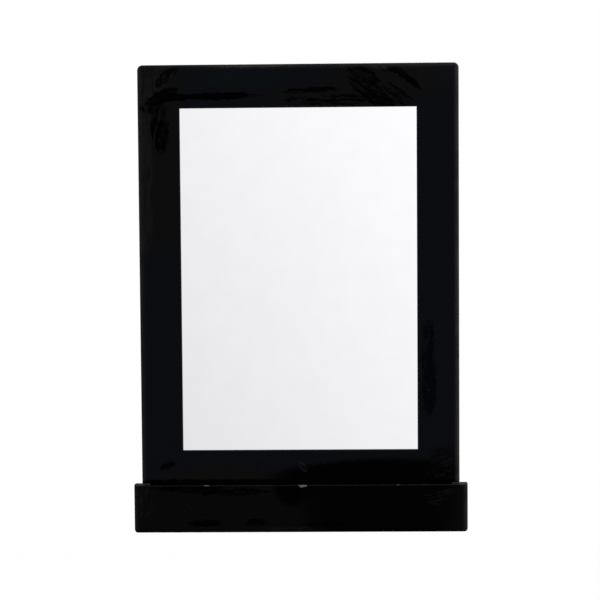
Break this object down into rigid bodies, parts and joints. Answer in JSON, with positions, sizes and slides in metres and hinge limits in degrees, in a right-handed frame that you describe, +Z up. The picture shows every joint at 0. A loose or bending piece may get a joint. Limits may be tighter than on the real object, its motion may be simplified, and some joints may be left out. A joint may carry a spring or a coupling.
{
  "type": "mirrored wall cabinet",
  "caption": "Shallow wall cabinet with a framed mirror door hinged on the left, glass shelves inside, and a slim drawer below whose front stands out past the door.",
  "frame": {"origin": "midway between the two wall-screw holes of the hanging rail, on the wall plane", "axes": "+X to the right as seen from the room, +Y into the wall (the door faces -Y), +Z up"},
  "size_m": [0.504, 0.144, 0.703],
  "materials": {
    "door_lacquer": "black gloss lacquer on MDF",
    "carcass_lacquer": "black satin lacquer on MDF",
    "hardboard": "dark hardboard",
    "beech": "fluted beech dowel",
    "mirror": "silvered float glass",
    "shelf_glass": "clear float glass, polished edges",
    "hinge_steel": "nickel-plated",
    "screw_steel": "zinc-plated",
    "plate_steel": "zinc-plated",
    "magnet": "sintered ferrite",
    "black_plastic": "moulded",
    "silicone": "clear self-adhesive bumper"
  },
  "bodies": {
    "cabinet": {"side_panel_left": "carcass_lacquer", "side_panel_right": "carcass_lacquer", "top_panel": "carcass_lacquer", "cupboard_floor": "carcass_lacquer", "base_panel": "carcass_lacquer", "back_panel": "hardboard", "hanging_rail": "carcass_lacquer", "steadying_rail": "carcass_lacquer", "carcass_dowels": "beech", "glass_shelf_upper": "shelf_glass", "glass_shelf_lower": "shelf_glass", "shelf_pins": "screw_steel", "hinge_upper_body_leaf": "hinge_steel", "hinge_lower_body_leaf": "hinge_steel", "hinge_upper_pin": "hinge_steel", "hinge_lower_pin": "hinge_steel", "hinge_body_screws": "screw_steel", "catch_housing": "black_plastic", "catch_magnet": "magnet", "catch_pole_plates": "plate_steel", "catch_screws": "screw_steel", "drawer_runner_left": "black_plastic", "drawer_runner_right": "black_plastic", "runner_screws": "screw_steel", "drawer_stop_rail": "carcass_lacquer", "stop_rail_screws": "screw_steel"},
    "door": {"door_stile_left": "door_lacquer", "door_stile_right": "door_lacquer", "door_rail_top": "door_lacquer", "door_rail_bottom": "door_lacquer", "door_dowels": "beech", "mirror_glass": "mirror", "mirror_backing_board": "hardboard", "bead_left": "carcass_lacquer", "bead_right": "carcass_lacquer", "bead_top": "carcass_lacquer", "bead_bottom": "carcass_lacquer", "bead_pins": "screw_steel", "hinge_upper_door_leaf": "hinge_steel", "hinge_lower_door_leaf": "hinge_steel", "hinge_door_screws": "screw_steel", "strike_plate": "plate_steel", "strike_plate_screws": "screw_steel", "door_bumpers": "silicone"},
    "drawer": {"drawer_front": "door_lacquer", "drawer_inner_front": "carcass_lacquer", "drawer_side_left": "carcass_lacquer", "drawer_side_right": "carcass_lacquer", "drawer_back": "carcass_lacquer", "drawer_bottom": "hardboard", "drawer_dowels": "beech", "drawer_front_screws": "screw_steel", "drawer_bumpers": "silicone"}
  },
  "joints": [
    {"name": "door_hinge", "type": "hinge", "parent": "cabinet", "child": "door", "pos_m": [-0.2338, -0.1182, -0.264], "axis": [0, 0, -1], "range_deg": [0, 120]},
    {"name": "drawer_slide", "type": "slide", "parent": "cabinet", "child": "drawer", "axis": [0, -1, 0], "range_m": [0, 0.0717]}
  ]
}
